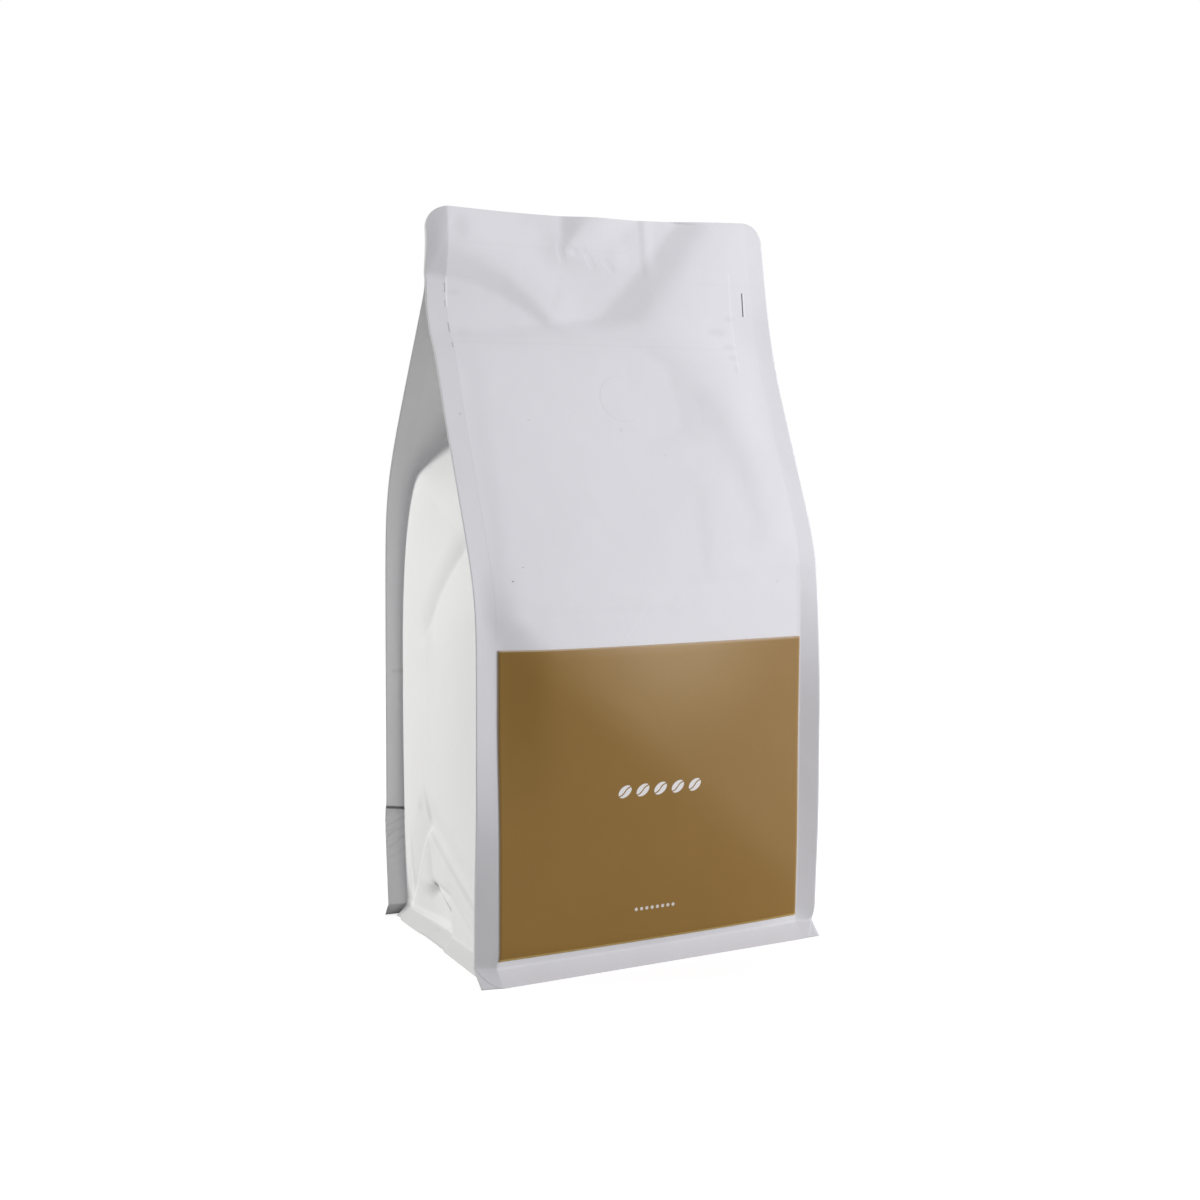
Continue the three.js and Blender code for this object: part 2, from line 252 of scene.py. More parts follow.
def back_fin_relief(x, z):
    """How far the left back fin stands back at its fold and its wrinkles."""
    past_root = np.maximum(0, -x - ROOT)
    under = FIN_FOLD["height"] + FIN_FOLD["rise"] * past_root - z
    fold = FIN_FOLD["out"] * smooth(under / FIN_FOLD["step"]) * (1 - fade(under, *FIN_FOLD["fades"]))
    fold = fold + FIN_LIP["out"] * bell(under + FIN_LIP["above"], FIN_LIP["half"])
    waves = np.sin(FIN_WRINKLES["close"] * (z + FIN_WRINKLES["slant"] * past_root))
    wrinkles = FIN_WRINKLES["out"] * waves * bell(under - FIN_WRINKLES["under"], FIN_WRINKLES["half"])
    nick = FIN_NICK["deep"] * bell(z - FIN_NICK["height"], FIN_NICK["half"])
    turned = FIN_TURN * past_root * smooth(under / FIN_TURN_SOFT)
    return (fold + wrinkles - nick) * smooth(past_root / FIN_FREE) + turned


def back_depth(x, z):
    filled = fade(z, 0, 2 * FOOT) * (1 - fade(z, *BELLY_BACK_FADES))
    splay = SPLAY_BACK * np.clip(1 - z / FOOT, 0, 1)
    tuck = BACK_TUCK * np.clip(1 - z / TUCK_TOP, 0, 1) ** 2
    own = DEPTH - lean(LEAN_BACK, z) - tuck + splay + BELLY_BACK * filled * across_panel(x)
    own = own + back_fin_relief(x, z)
    sealed = front_depth(x, z) + SEAL
    return sealed + ramp(own - sealed, 1.0)


# Side films. Places on them are given as (depth, height), reliefs point inwards.

# A side film is folded in above the coffee. It pockets slowly up to the pinched corner, then fast.
SPARE_FADES = (100, 130)
POCKET_START, PINCH = 104.0, 170.0
PINCH_DEPTH = 3.2
POCKET_SLOPE = 0.8
# Below that it bulges out
BULGE = 7.5
BULGE_FULL = 90.0  # from this height up
BULGE_FADES = (162, 192)
BULGE_ROUND = 2.6
SIDE_STRIP = 3.5  # inset of the strip along the floor
# The hem of the bottom film overlaps itself behind a slanted line
OVERLAP = {"high": 0.4, "depth": 41, "top": 7.5, "slant": 2.8, "step": 0.8}

# Triangular fold over the foot: its top, the slopes of its ridges, and in front and at the back the
# depth of the step round it and how soft the step is
APEX = (50.5, 41.6)
RIDGE_FRONT = 0.62
RIDGE_BACK, RIDGE_BACK_CURVE = 0.92, 0.0105
STEP_DEPTHS, STEP_SOFT, STEP_FADES = (1.9, 0.8), (1.3, 0.9), (4, 19)
# Crease along its back ridge, and the fold along its middle
RIDGE_CREASE = {"deep": 1.0, "above": 9, "below": 0.8, "heights": (9, 17)}
TRIANGLE_FOLD = {"deep": 0.8, "behind": 7, "ahead": 16}
# The flap under it, from its point at the middle to its tip and on to its foot
FLAP_POINT, FLAP_TIP = (53.0, 21.0), (38.0, 15.3)
FLAP_SLOPE = 0.422
FLAP_FOOT, FLAP_FRONT_HEIGHTS = 39.6, (6, 15)
FLAP_SOFT = 1.6
# The dimple under the flap, and how soft it is at the back and at the flap
DIMPLE = {"deep": 3.0, "fades": (52, 76), "foot": 0.25, "foot_heights": (3, 8), "soft": (9, 3.2)}
# The valley round the flap's foot, with its width on the upper and on the lower side
VALLEY = ((51, 21.4), (37, 20.6), (31, 17), (16, 7))
VALLEY_WIDTHS = (4, 6)
# Crease that runs from the front fin down to the middle, and the flat facet under it
CREASE = {"from": (14, 169), "to": (45, 117), "bow": 0.5, "bow_ends": 0.45, "deep": 2.9,
          "above": 9, "below": 26, "past": 4}
# Grooves (start, end, half width, depth) and dents (place, half sizes, depth)
SIDE_GROOVES = ((FLAP_POINT, FLAP_TIP, 0.9, 0.6), ((57, 48), APEX, 2.2, 0.6))
SIDE_DENTS = (((47.3, 108.5), (4.5, 4.5), -0.35), ((88, 95), (3, 2.5), 0.9))
# Raised lines: the film's centre line, and the fold of its back margin near the foot
CENTRE_LINE = {"depth": 45, "slant": 0, "high": 0.12, "half": 1.0, "low": (55, 63), "top": (118, 126)}
MARGIN_FOLD = {"depth": 80, "slant": 0.15, "high": 0.45, "half": 1.3, "low": (6, 12), "top": (34, 43)}


def side_folds(edge, z):
    """How far the side film lies in along the front film and along the back film."""
    gap = back_depth(edge, z) - front_depth(edge, z) - SEAL
    spare = ramp(GUSSET - gap, 1.0) * fade(z, *SPARE_FADES)
    slow = PINCH_DEPTH * np.clip((z - POCKET_START) / (PINCH - POCKET_START), 0, 1) ** 2
    back = np.minimum(slow + POCKET_SLOPE * ramp(z - PINCH, 0.8), spare / 2)
    return spare - back, back


def triangle_relief(depth, z):
    """The triangle stands proud of the film round it and is folded in along its middle."""
    behind = depth - APEX[0]
    back_ridge = -RIDGE_BACK * behind - RIDGE_BACK_CURVE * behind**2
    over = z - APEX[1] - np.where(behind < 0, RIDGE_FRONT * behind, back_ridge)
    on_back = fade(behind, -1, 1)
    step = 1 - np.exp(-np.maximum(0, over) / mix(*STEP_SOFT, on_back))
    dent = mix(*STEP_DEPTHS, on_back) * step * (1 - fade(over, *STEP_FADES))
    near_ridge = one_sided(over, RIDGE_CREASE["above"], RIDGE_CREASE["below"])
    crease = RIDGE_CREASE["deep"] * on_back * near_ridge * fade(z, *RIDGE_CREASE["heights"])
    down = (APEX[1] - z) / (APEX[1] - FLAP_POINT[1])
    middle = mix(APEX[0], FLAP_POINT[0], np.clip(down, 0, 1))
    folded = smooth(down * 1.6) * (1 - smooth((down - 0.95) * 3))
    near_middle = one_sided(depth - middle, TRIANGLE_FOLD["behind"], TRIANGLE_FOLD["ahead"])
    return dent + crease + TRIANGLE_FOLD["deep"] * folded * near_middle


def dimple_relief(depth, z):
    """The dimple is abrupt at the flap's edge and soft at the back."""
    flap_edge = np.minimum(FLAP_POINT[1], FLAP_TIP[1] + FLAP_SLOPE * (depth - FLAP_TIP[0]))
    abrupt = 1 - fade(depth, FLAP_POINT[0], FLAP_POINT[0] + 10)
    over_foot = mix(DIMPLE["foot"], 1, fade(z, *DIMPLE["foot_heights"]))
    under = smooth((flap_edge - z) / mix(*DIMPLE["soft"], abrupt)) * over_foot
    low, high = FLAP_FRONT_HEIGHTS
    flap_front = mix(FLAP_FOOT, FLAP_TIP[0], np.clip((z - low) / (high - low), 0, 1))
    behind_flap = smooth((depth - flap_front) / FLAP_SOFT)
    return DIMPLE["deep"] * under * behind_flap * (1 - fade(depth, *DIMPLE["fades"]))


def valley_relief(depth, z):
    """A soft valley, 1 mm deep, that parts the flap's foot from the triangle."""
    valley = 0.0
    for start, end in zip(VALLEY, VALLEY[1:]):
        _, off, past = from_line(depth, z, start, end)
        away = np.where(off < 0, 1, -1) * np.hypot(off, past)
        valley = np.maximum(valley, one_sided(away, *VALLEY_WIDTHS))
    return valley


def crease_relief(depth, z):
    share, off, past = from_line(depth, z, CREASE["from"], CREASE["to"])
    ends = CREASE["bow_ends"]
    off = off + CREASE["bow"] * smooth(share / ends) * smooth((1 - share) / ends)
    dip = one_sided(off, CREASE["above"], CREASE["below"]) * bell(past, CREASE["past"])
    return CREASE["deep"] * dip * mix(1, 0.5, share)


def raised_line(depth, z, line):
    across = bell(depth - line["depth"] + line["slant"] * z, line["half"])
    return line["high"] * across * fade(z, *line["low"]) * (1 - fade(z, *line["top"]))


def side_relief(depth, z):
    """Inward relief of the side film, as on the side that shows best."""
    relief = triangle_relief(depth, z) + dimple_relief(depth, z)
    relief = relief + valley_relief(depth, z) + crease_relief(depth, z)
    for start, end, half, deep in SIDE_GROOVES:
        _, off, past = from_line(depth, z, start, end)
        relief = relief + deep * bell(np.hypot(off, past), half)
    for (dent_depth, dent_z), (wide, high), deep in SIDE_DENTS:
        relief = relief + deep * bell(np.hypot((depth - dent_depth) / wide, (z - dent_z) / high), 1)
    return relief - raised_line(depth, z, CENTRE_LINE) - raised_line(depth, z, MARGIN_FOLD)


def side_point(edge, t, z):
    """Place of the film t mm along its folded width, from the front root to the back root."""
    inward = -np.sign(edge)
    inner = (SEAL - FILM) / 2
    front_fold, back_fold = side_folds(edge, z)
    at_front = front_depth(edge + inward * (FIN + front_fold), z) + inner
    at_back = back_depth(edge + inward * (FIN + back_fold), z) - inner
    facet = np.hypot(at_back - at_front, front_fold - back_fold)
    length = front_fold + facet + back_fold
    s = np.where(t < 0, t, np.where(t > GUSSET, length + t - GUSSET, t * length / GUSSET))
    v = np.clip((s - front_fold) / facet, 0, 1)
    folded = np.where(s < front_fold, s, np.where(v >= 1, length - s, mix(front_fold, back_fold, v)))
    inset = FIN + folded
    along_front = front_depth(edge + inward * inset, z) + inner
    along_back = back_depth(edge + inward * inset, z) - inner
    flat_depth = np.where(s < front_fold, along_front, along_back)
    depth = np.where((v > 0) & (v < 1), mix(at_front, at_back, v), flat_depth)
    middle = 1 - np.abs(2 * v - 1)
    rounded = (1 - (1 - middle) ** BULGE_ROUND) * (1 - fade(z, *BULGE_FADES))
    short = np.clip((BULGE_FULL - z) / (BULGE_FULL - FOOT), 0, 1)
    bulge = BULGE * (1 - short**2) * rounded
    behind_line = depth - OVERLAP["depth"] - OVERLAP["slant"] * (OVERLAP["top"] - z)
    overlap = OVERLAP["high"] * smooth(behind_line / OVERLAP["step"]) * (1 - fade(z, 6, OVERLAP["top"]))
    strip = ((FIN - SIDE_STRIP) * np.clip(1 - z / FOOT, 0, 1) + overlap) * smooth(middle * 20)
    return inset - bulge + side_relief(depth, z) * smooth(middle * 9) - strip, depth


# The bends of a side film are rounded by weighted means over a reach along its width. The reach
# grows at the back of the bulge and above the shoulder, and shrinks to nothing on the side fins.
ROUNDING = {-1.0: 1, -0.67: 2, -0.33: 3, 0.0: 4, 0.33: 3, 0.67: 2, 1.0: 1}
REACH, REACH_AT_BACK, REACH_ABOVE = 0.9, 2.2, 2.8
BACK_WIDTHS, BACK_LOW, BACK_TOP = (58, 74), (100, 130), (158, 168)
ABOVE_HEIGHTS = (178, 194)
ROUNDING_ENDS = (-4, 5)


def side_place(edge):
    """The side film's surface, with its bends rounded: tightly low down, widely over the shoulder."""
    inward = -np.sign(edge)

    def place(u, w):
        t = mix(-FIN, GUSSET + FIN, u if edge > 0 else 1 - u)
        z = side_height(edge, w)
        at_back = fade(t, *BACK_WIDTHS) * fade(z, *BACK_LOW) * (1 - fade(z, *BACK_TOP))
        reach = REACH + REACH_AT_BACK * at_back + REACH_ABOVE * fade(z, *ABOVE_HEIGHTS)
        reach = reach * fade(np.minimum(t, GUSSET - t), *ROUNDING_ENDS)
        total = sum(ROUNDING.values())
        inset, depth = 0.0, 0.0
        for offset, weight in ROUNDING.items():
            there = np.clip(t + offset * reach, -FIN, GUSSET + FIN)
            inset_there, depth_there = side_point(edge, there, z)
            inset = inset + weight * inset_there / total
            depth = depth + weight * depth_there / total
        return edge + inward * inset, depth, z

    return place


def side_height(edge, w):
    """Rows of a side film: close together over the folds at the foot."""
    folded_rows, folded_height = 0.42, 50.0
    above = (w - folded_rows) / (1 - folded_rows)
    low = folded_height * w / folded_rows
    return np.where(w < folded_rows, low, mix(folded_height, top_height(edge) - CORNER, above))


# Grids and sheets


def panel_columns(u):
    """Columns of a panel: packed along the side fins, even between them."""
    margin, share = 11.5, 0.16
    near = HALF - margin * np.minimum(u, 1 - u) / share
    between = (HALF - margin) / (0.5 - share)
    return np.where(np.minimum(u, 1 - u) < share, np.sign(u - 0.5) * near, (u - 0.5) * between)


def panel_rows(w):
    """Rows of a panel: packed along the round corners, even between them."""
    arc = 0.08
    low = CORNER * (1 - np.cos(np.clip(w / arc, 0, 1) * math.pi / 2))
    high = HEIGHT - CORNER * (1 - np.cos(np.clip((1 - w) / arc, 0, 1) * math.pi / 2))
    even = mix(CORNER, HEIGHT - CORNER, (w - arc) / (1 - 2 * arc))
    return np.where(w < arc, low, np.where(w > 1 - arc, high, even))


def panel_place(depth_at, facing, low_corner):
    """A panel's surface, with round corners. Facing is 1 for the front and -1 for the back."""
    def place(u, w):
        row = panel_rows(w)
        radius = np.where(row < HEIGHT / 2, low_corner, CORNER)
        near = np.maximum(0, radius - np.minimum(row, HEIGHT - row))
        cut = radius - np.sqrt(np.maximum(0, radius**2 - near**2))
        x = panel_columns(u) * facing
        held = ROOT - CORNER
        outer = np.abs(x) - held
        x = np.where(outer > 0, np.sign(x) * (held + outer * (HALF - held - cut) / (HALF - held)), x)
        z = row * top_height(x) / HEIGHT
        return x, depth_at(x, z), z

    return place


BOTTOM = {"width": 127, "front": -3.8, "back": 88.2, "rim": 0.6, "rise": 2.0, "rim_width": 9}


def bottom_place(u, w):
    """The bottom film hangs a little above the floor inside the splayed flanges."""
    x = BOTTOM["width"] * (u - 0.5)
    depth = mix(BOTTOM["front"], BOTTOM["back"], w)
    from_side = np.minimum(u, 1 - u) * BOTTOM["width"]
    from_end = np.minimum(w, 1 - w) * (BOTTOM["back"] - BOTTOM["front"])
    rise = BOTTOM["rise"] * smooth(np.minimum(from_side, from_end) / BOTTOM["rim_width"])
    return x, depth, BOTTOM["rim"] + rise


LABEL_HALF = 60.2
LABEL_LOW, LABEL_HIGH = 7.6, 111.7
LABEL_OFF = 0.25  # outer face of the label in front of the film
LABEL_THICK = 0.15


def label_place(u, w):
    x, z = mix(-LABEL_HALF, LABEL_HALF, u), mix(LABEL_LOW, LABEL_HIGH, w)
    return x, front_depth(x, z) - LABEL_OFF, z


def film_sheet(name, columns, rows, place, thickness):
    """A sheet of film: a grid laid out by place(u, w) in millimetres, u and w from 0 to 1."""
    bm = bmesh.new()
    bmesh.ops.create_grid(bm, x_segments=columns, y_segments=rows, size=0.5)
    grid = np.array([vert.co[:2] for vert in bm.verts]) + 0.5
    x, depth, z = place(grid[:, 0], grid[:, 1])
    for vert, point in zip(bm.verts, np.column_stack([x, depth - MIDDLE, z]) * MM):
        vert.co = point
    for face in bm.faces:
        face.smooth = True
    mesh = bpy.data.meshes.new(name)
    bm.to_mesh(mesh)
    bm.free()
    sheet = bpy.data.objects.new(name, mesh)
    bpy.context.scene.collection.objects.link(sheet)
    wall = sheet.modifiers.new("thickness", "SOLIDIFY")
    wall.thickness = thickness * MM
    wall.offset = -1
    return sheet


class Net:
    """Sums in the nodes of one material. Values are numbers or sockets, lengths are millimetres."""

    def __init__(self, name):
        self.material = bpy.data.materials.new(name)
        self.material.use_nodes = True
        self.tree = self.material.node_tree
        self.body = self.tree.nodes["Principled BSDF"]
        self.place = self.node("ShaderNodeTexCoord").outputs["Object"]
        split = self.node("ShaderNodeSeparateXYZ", Vector=self.place)
        self.x, self.depth, self.z = (self.sum("MULTIPLY", axis, 1 / MM) for axis in split.outputs)
        self.depth = self.sum("ADD", self.depth, MIDDLE)

    def node(self, kind, **inputs):
        node = self.tree.nodes.new(kind)
        for name, value in inputs.items():
            self.feed(node.inputs[name.replace("_", " ")], value)
        return node

    def feed(self, socket, value):
        if isinstance(value, bpy.types.NodeSocket):
            self.tree.links.new(value, socket)
        else:
            socket.default_value = value

    def sum(self, operation, *values):
        node = self.tree.nodes.new("ShaderNodeMath")
        node.operation = operation
        for socket, value in zip(node.inputs, values):
            self.feed(socket, value)
        return node.outputs[0]

    def add(self, values):
        total = values[0]
        for value in values[1:]:
            total = self.sum("ADD", total, value)
        return total

    def times(self, *values):
        product = values[0]
        for value in values[1:]:
            product = self.sum("MULTIPLY", product, value)
        return product

    def fade(self, value, nought, full):
        """0 at nought, 1 at full, smooth between."""
        node = self.node("ShaderNodeMapRange", Value=value, From_Min=nought, From_Max=full)
        node.interpolation_type = "SMOOTHSTEP"
        return node.outputs["Result"]

    def far(self, a, b):
        """Length of the vector (a, b)."""
        node = self.tree.nodes.new("ShaderNodeVectorMath")
        node.operation = "LENGTH"
        self.feed(node.inputs[0], self.node("ShaderNodeCombineXYZ", X=a, Y=b).outputs[0])
        return node.outputs["Value"]

    def dot(self, u, v, centre, half, strength, hard=0.2):
        """A soft oval mark: how strongly it shows at (u, v)."""
        across = self.sum("MULTIPLY_ADD", u, 1 / half[0], -centre[0] / half[0])
        up = self.sum("MULTIPLY_ADD", v, 1 / half[1], -centre[1] / half[1])
        return self.times(self.fade(self.far(across, up), 1, hard), strength)

    def line(self, u, v, start, end, half, strength, hard=0.25):
        """A soft line mark from start to end."""
        length = math.dist(start, end)
        along_u, along_v = (end[0] - start[0]) / length, (end[1] - start[1]) / length
        mid_u, mid_v = (start[0] + end[0]) / 2, (start[1] + end[1]) / 2
        along = self.sum("MULTIPLY_ADD", u, along_u, -mid_u * along_u - mid_v * along_v)
        along = self.sum("MULTIPLY_ADD", v, along_v, along)
        off = self.sum("MULTIPLY_ADD", u, -along_v, mid_u * along_v - mid_v * along_u)
        off = self.sum("MULTIPLY_ADD", v, along_u, off)
        past = self.sum("MAXIMUM", self.sum("SUBTRACT", self.sum("ABSOLUTE", along), length / 2), 0)
        return self.times(self.fade(self.far(off, past), half, half * hard), strength)

    def line_side(self, start, end, soft):
        """1 on the left of a line in x and z, 0 on its right, with a soft border."""
        length = math.dist(start, end)
        across = (start[1] - end[1]) / length, (end[0] - start[0]) / length
        shift = -start[0] * across[0] - start[1] * across[1]
        off = self.sum("MULTIPLY_ADD", self.x, across[0], shift)
        return self.fade(self.sum("MULTIPLY_ADD", self.z, across[1], off), -soft, soft)

    def noise(self, size, detail=2.0):
        """Soft noise from -1 to 1 with lumps of about the given size."""
        node = self.node("ShaderNodeTexNoise", Vector=self.place, Scale=1 / (size * MM), Detail=detail)
        return self.sum("MULTIPLY_ADD", node.outputs["Fac"], 2, -1)

    def bump(self, height):
        node = self.node("ShaderNodeBump", Height=height, Distance=MM)
        self.feed(self.body.inputs["Normal"], node.outputs["Normal"])

    def colour(self, light, base):
        """The base colour times a lightness."""
        red, green, blue = [self.times(light, value) for value in base]
        return self.node("ShaderNodeCombineColor", Red=red, Green=green, Blue=blue).outputs[0]

    def covered(self, colour, cover, over):
        """A colour, and over it another one where the cover is 1."""
        mixed = self.node("ShaderNodeMix")
        mixed.data_type = "RGBA"
        for socket, value in ((0, cover), (6, colour), (7, (*over, 1))):
            self.feed(mixed.inputs[socket], value)
        return mixed.outputs[2]

    def finish(self, colour, roughness, specular):
        self.feed(self.body.inputs["Base Color"], colour)
        self.feed(self.body.inputs["Roughness"], roughness)
        self.feed(self.body.inputs["Specular IOR Level"], specular)


# Film

FILM_COLOUR = (0.8, 0.8, 0.8)
FILM_ROUGHNESS, FILM_SPECULAR = 0.72, 0.35
# Fins: partly seal tone, partly painted shade. Flanges and all film under the foot crease: painted
# shade
FIN_TONE_AND_SHADE, FLANGE_SHADE = -0.022, -0.14
FILM_CLOUDS = (38, 0.012)  # size and strength of the soft clouds in its lightness
FILM_WAVES = ((30, 0.3), (7, 0.03), (0.9, 0.004))  # size and height of its waves and its grain
FLANGE_FADES = (FOOT + 0.3, FOOT - 0.6)

# Marks on the front film: ovals (x, z, half width, half height, lightness) and lines
# (start, end, half width, lightness)
FRONT_OVALS = (
    (50, 229, 3.2, 1.8, -0.05),
    (43.5, 223.5, 6, 2.6, -0.06),
    (48, 218, 4.5, 1.8, -0.05),
    (49, 214, 3.5, 1.8, -0.06),
    (49.5, 210, 2, 2.6, -0.05),
    (-55, 256, 4.5, 6, -0.06),
    (-57.5, 233, 3.5, 1.6, -0.05),
    (-56, 219, 5, 3, -0.03),
    (-2.7, 185.7, 1.1, 1, -0.09),
    (-62, 190, 1, 0.8, -0.12),
    (-53.8, 134.2, 0.55, 0.4, -0.6),
    (-49.5, 138.7, 0.45, 0.4, -0.35),
    (-37.5, 188.5, 0.8, 0.6, -0.1),
    (12.6, 176.9, 0.7, 0.6, -0.1),
    (50, 132, 0.9, 0.9, -0.1),
)
FRONT_LINES = (
    ((-58, 215.6), (48, 217), 0.8, -0.016),
    ((-58, 218.2), (46, 219.4), 0.7, -0.007),
    ((-58, 250.4), (10, 251.4), 0.9, -0.011),
    ((38, 241.5), (67, 242), 1.0, -0.011),
    ((51, 246), (50.6, 209), 0.6, 0.05),
    ((56.5, 239), (56.3, 230.4), 0.36, -0.97),
    ((57.1, 238.8), (56.9, 230.4), 0.4, 0.12),
    ((-60.5, 262), (-60.5, 114), 0.5, -0.035),
    ((-60.3, 238), (-60.3, 228), 0.45, 0.14),
    ((-60.9, 236), (-60.9, 233), 0.3, -0.35),
    ((-60.9, 230), (-60.9, 228), 0.3, -0.25),
    ((-60.6, 222), (-60.6, 219), 0.35, -0.3),
    ((-60.6, 215), (-60.6, 213.5), 0.35, -0.25),
    ((59.6, 137), (59.6, 113), 1.2, -0.05),
    ((-15, 113), (-5, 125), 0.4, 0.025),
    ((5, 122), (10, 128), 0.4, 0.02),
)
# The round valve under the film: its middle, its radius, how dark its rim is and how high it stands
VALVE = (-0.4, 197.0)
VALVE_RADIUS = 8.2
VALVE_RIM_TINT, VALVE_RISE = -0.022, 0.03
# Small crinkles under the tear notch at the top, pressed into the film
CRINKLES = (
    ((-17.6, 251.5), (-16.4, 247)),
    ((-15.5, 252), (-11.8, 250.2)),
    ((-11.8, 250.2), (-8.4, 251)),
    ((-6.6, 249), (-4.8, 245.6)),
    ((0.4, 247.6), (2.8, 245)),
)
CRINKLE_HALF, CRINKLE_HEIGHT = 1.9, -0.06

# Painted shade on the left back fin: half width and lightness of the painted shadow in the fold across
# it and of the painted shade in the nick above that, and the painted shade and the wrinkles under the
# fold
FIN_FOLD_HEIGHTS = (41.6, 42.6)  # at the fin's root and at its edge
FIN_FOLD_SHADOW, FIN_NICK_SHADE = (0.9, -0.75), (1.2, -0.08)
FOLD_SHADE, WRINKLE_SHADE, WRINKLE_HEIGHT = -0.04, -0.08, 0.12
WRINKLE_SLANT, WRINKLE_CLOSE = -0.55, 1.5
WRINKLE_BEND = (9, 3.5)  # size and strength of the noise that bends them
WRINKLE_FADES = (14, 34)
FLAP_EDGE_SHADOW = (1.2, -0.5)  # half width and lightness of the painted shadow under the flap's edge


def film_base(net):
    """Lightness and height of all the film: seal tone and painted shade on the fins, painted shade low
    down, soft waves and a fine grain.
    """
    # seal tone and painted shade on the fins; painted shade under the foot crease
    fin = net.times(net.fade(net.sum("ABSOLUTE", net.x), ROOT - 0.3, ROOT + 0.3), FIN_TONE_AND_SHADE)
    flange = net.times(net.fade(net.z, *FLANGE_FADES), FLANGE_SHADE)
    clouds = net.times(net.noise(FILM_CLOUDS[0]), FILM_CLOUDS[1])
    height = net.add([net.times(net.noise(size), high) for size, high in FILM_WAVES])
    return net.add([fin, flange, clouds]), height


def film_material(name, marks=None):
    """Matte white film. Marks add to its lightness and to its height in millimetres."""
    net = Net(name)
    light, height = film_base(net)
    if marks:
        more_light, more_height = marks(net)
        light, height = net.add([light, more_light]), net.add([height, more_height])
    net.finish(net.colour(net.sum("ADD", light, 1), FILM_COLOUR), FILM_ROUGHNESS, FILM_SPECULAR)
    net.bump(height)
    return net.material


def front_marks(net):
    """Small marks, the tear mark, the crinkles and the valve."""
    light = []
    for x, z, wide, high, strength in FRONT_OVALS:
        light.append(net.dot(net.x, net.z, (x, z), (wide, high), strength))
    light += [net.line(net.x, net.z, *line) for line in FRONT_LINES]
    from_valve = net.far(net.sum("SUBTRACT", net.x, VALVE[0]), net.sum("SUBTRACT", net.z, VALVE[1]))
    ring = net.fade(net.sum("ABSOLUTE", net.sum("SUBTRACT", from_valve, VALVE_RADIUS)), 0.6, 0.1)
    light.append(net.times(ring, VALVE_RIM_TINT))
    height = []
    for start, end in CRINKLES:
        height.append(net.line(net.x, net.z, start, end, CRINKLE_HALF, CRINKLE_HEIGHT))
    disc = net.fade(from_valve, VALVE_RADIUS + 0.4, VALVE_RADIUS - 0.4)
    height.append(net.times(disc, VALVE_RISE))
    return net.add(light), net.add(height)


def side_marks(net):
    """Painted shade in the left back fin's fold, on wrinkles under it, in a nick above it and under the
    flap.
    """
    on_fin = net.times(net.fade(net.x, -ROOT + 0.4, -ROOT - 0.2), net.fade(net.depth, 86.4, 88))
    low, high = FIN_FOLD_HEIGHTS
    nick_height = FIN_NICK["height"]
    # painted shadow in the fin's fold and painted shade in the nick
    fold = net.line(net.x, net.z, (-ROOT + 1, low), (-HALF - 1, high), *FIN_FOLD_SHADOW)
    nick = net.line(net.x, net.z, (-ROOT + 1, nick_height), (-ROOT - 4, nick_height), *FIN_NICK_SHADE)
    under = net.fade(net.z, low + 0.5, low - 1)
    slant = net.sum("MULTIPLY_ADD", net.x, WRINKLE_SLANT, net.z)
    stripes = net.times(slant, WRINKLE_CLOSE)
    bent = net.times(net.noise(WRINKLE_BEND[0]), WRINKLE_BEND[1])
    wave = net.sum("SINE", net.add([stripes, bent]))
    wrinkled = net.times(under, net.fade(net.z, *WRINKLE_FADES))
    # painted shadow under the flap's edge
    flap = net.line(net.depth, net.z, FLAP_POINT, FLAP_TIP, *FLAP_EDGE_SHADOW)
    shade = net.times(under, FOLD_SHADE)
    wrinkles = net.times(wrinkled, net.fade(wave, 0.3, 1), WRINKLE_SHADE)
    light = net.times(net.add([fold, nick, shade, wrinkles]), on_fin)
    return net.add([light, flap]), net.times(wave, wrinkled, on_fin, WRINKLE_HEIGHT)


# Label

PAPER_COLOUR = (0.29, 0.165, 0.036)
PAPER_ROUGHNESS, PAPER_SPECULAR = 0.45, 0.3
PAPER_FIBRES, PAPER_CLOUDS = (0.7, 0.035), (14, 0.03)  # size and strength in its lightness
PAPER_GRAIN, PAPER_WAVES = (0.5, 0.006), (22, 0.12)  # size and height
FINE_DETAIL = 3
PRINT_COLOUR = (0.86, 0.84, 0.8)
# Pale cut edges of the paper, partly painted highlight; a painted highlight along its lower edge
PALE_CUT_EDGE_AND_HIGHLIGHT = (0.55, 0.44, 0.3)
GOLD_EDGE_HIGHLIGHT = (0.66, 0.46, 0.14)
# Distances from the paper's edges between which the pale cut edges and the painted highlights come in
TOP_EDGE, LOW_EDGE, SIDE_EDGE = (0.7, 0.2), (0.9, 0.3), (0.6, 0.1)
SIDE_COVER = 0.6
PAINTED_SHEEN_COLOUR = (0.9, 0.72, 0.45)
# Painted sheen: the paper is painted paler right of and above this line (x, z), and a painted
# highlight makes it palest at the middle of its top edge
PAINTED_SHEEN_FROM, PAINTED_SHEEN_TO, PAINTED_SHEEN_SOFT = (-40, 104), (56, 24), 9
PAINTED_SHEEN = 0.045
PAINTED_HIGHLIGHT = {"centre": (6, 116), "half": (52, 52), "strength": 0.14}
# A row of printed coffee beans, and a row of dots under it: x range, height, count, half sizes
BEANS = {"x": (-17.6, 17.6), "z": 61.3, "count": 5, "half": (2.75, 1.85), "turned": 0.6}
BEAN_BORDER = (1.06, 0.94)
BEAN_SPLIT = {"bow": 0.3, "close": 1.1, "half": (0.16, 0.28)}
DOTS = {"x": (-9.8, 7.1), "z": 19.2, "count": 8, "half": 0.62, "strength": 0.75}
DOT_BORDER = 0.1


